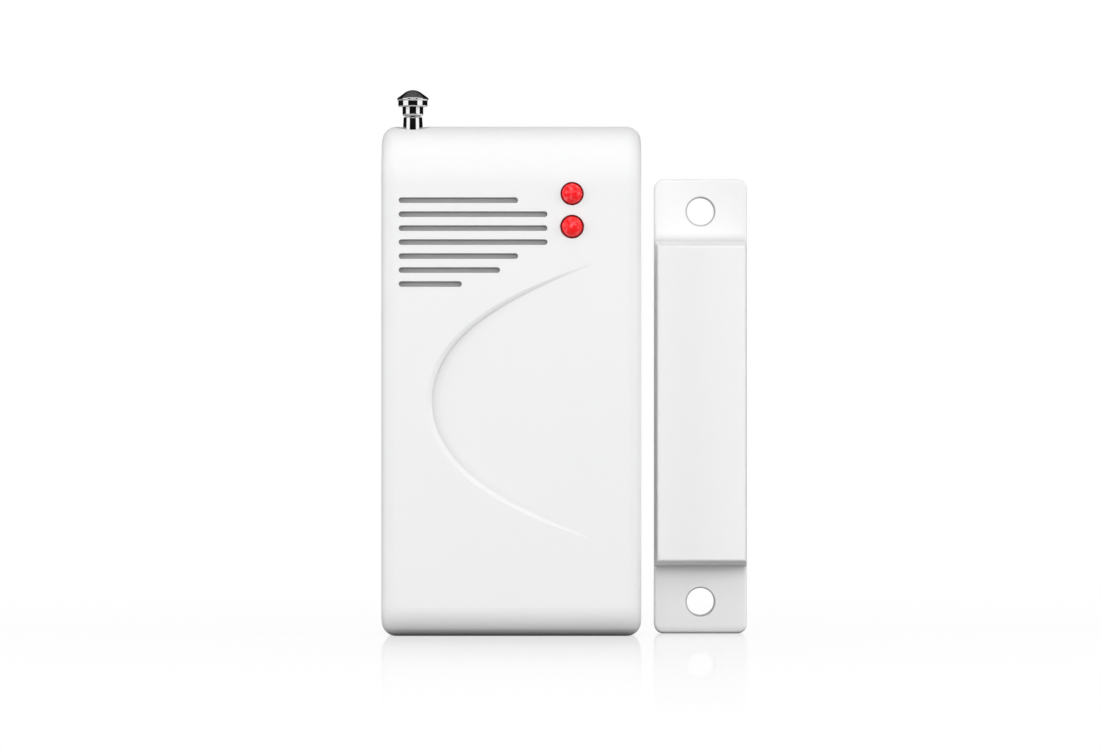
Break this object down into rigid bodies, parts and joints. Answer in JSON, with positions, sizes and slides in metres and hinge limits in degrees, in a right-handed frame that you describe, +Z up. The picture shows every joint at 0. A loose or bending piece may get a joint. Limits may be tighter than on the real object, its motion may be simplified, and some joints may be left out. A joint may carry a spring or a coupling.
{
  "type": "magnetic door contact",
  "caption": "Wireless magnetic door contact: a white transmitter case with slots, red indicator lamps and a telescopic antenna, beside a slim screw-on magnet unit.",
  "frame": {"origin": "centre of the transmitter's flat back face, which goes against the wall or door frame", "axes": "+Y into the wall, +Z up along the case and the antenna, +X towards the magnet unit"},
  "size_m": [0.0504, 0.0169, 0.075],
  "materials": {
    "white_shell": "satin injection-moulded ABS",
    "steel": "zinc-plated",
    "board_green": "green solder mask",
    "led_red": "glossy red translucent epoxy",
    "tinned_wire": "tinned",
    "battery_sleeve": "printed shrink sleeve, bare of print",
    "spring_steel": "nickel-plated",
    "chrome": "mirror chrome",
    "brass": "turned",
    "clear_glass": "clear",
    "black_epoxy": "moulded",
    "choke_body": "dipped",
    "ceramic_tan": "ceramic",
    "black_plastic": "moulded",
    "gold_pins": "flash-plated",
    "magnet_grey": "sintered ferrite"
  },
  "bodies": {
    "transmitter": {"front_shell": "white_shell", "back_shell": "white_shell", "case_screws": "steel", "circuit_board": "board_green", "board_screws": "steel", "led_upper": "led_red", "led_lower": "led_red", "led_leads": "tinned_wire", "battery": "battery_sleeve", "battery_contact_plus": "spring_steel", "battery_contact_minus": "spring_steel", "antenna_base_tube": "chrome", "antenna_foot": "brass", "antenna_screw": "steel", "reed_switch_glass": "clear_glass", "reed_blades": "tinned_wire", "encoder_chip": "black_epoxy", "chip_pins": "tinned_wire", "saw_resonator": "steel", "transistors": "black_epoxy", "rf_choke": "choke_body", "capacitors": "ceramic_tan", "resistors": "black_epoxy", "jumper_header": "black_plastic", "header_pins": "gold_pins", "jumper_caps": "black_plastic"},
    "battery_hatch": {"battery_hatch": "white_shell"},
    "antenna_second": {"antenna_section_2": "chrome"},
    "antenna_third": {"antenna_section_3": "chrome"},
    "antenna_tip": {"antenna_tip": "chrome"},
    "magnet_unit": {"magnet_case": "white_shell", "bar_magnet": "magnet_grey", "magnet_back_plate": "white_shell"}
  },
  "joints": [
    {"name": "hatch_hinge", "type": "hinge", "parent": "transmitter", "child": "battery_hatch", "pos_m": [0, 0, -0.0324], "axis": [-1, 0, 0], "range_deg": [0, 50]},
    {"name": "antenna_slide_1", "type": "slide", "parent": "transmitter", "child": "antenna_second", "axis": [0, 0, 1], "range_m": [0, 0.042]},
    {"name": "antenna_slide_2", "type": "slide", "parent": "antenna_second", "child": "antenna_third", "axis": [0, 0, 1], "range_m": [0, 0.042]},
    {"name": "antenna_slide_3", "type": "slide", "parent": "antenna_third", "child": "antenna_tip", "axis": [0, 0, 1], "range_m": [0, 0.042]},
    {"name": "magnet_slide", "type": "slide", "parent": "transmitter", "child": "magnet_unit", "axis": [1, 0, 0], "range_m": [0, 0.04]}
  ]
}
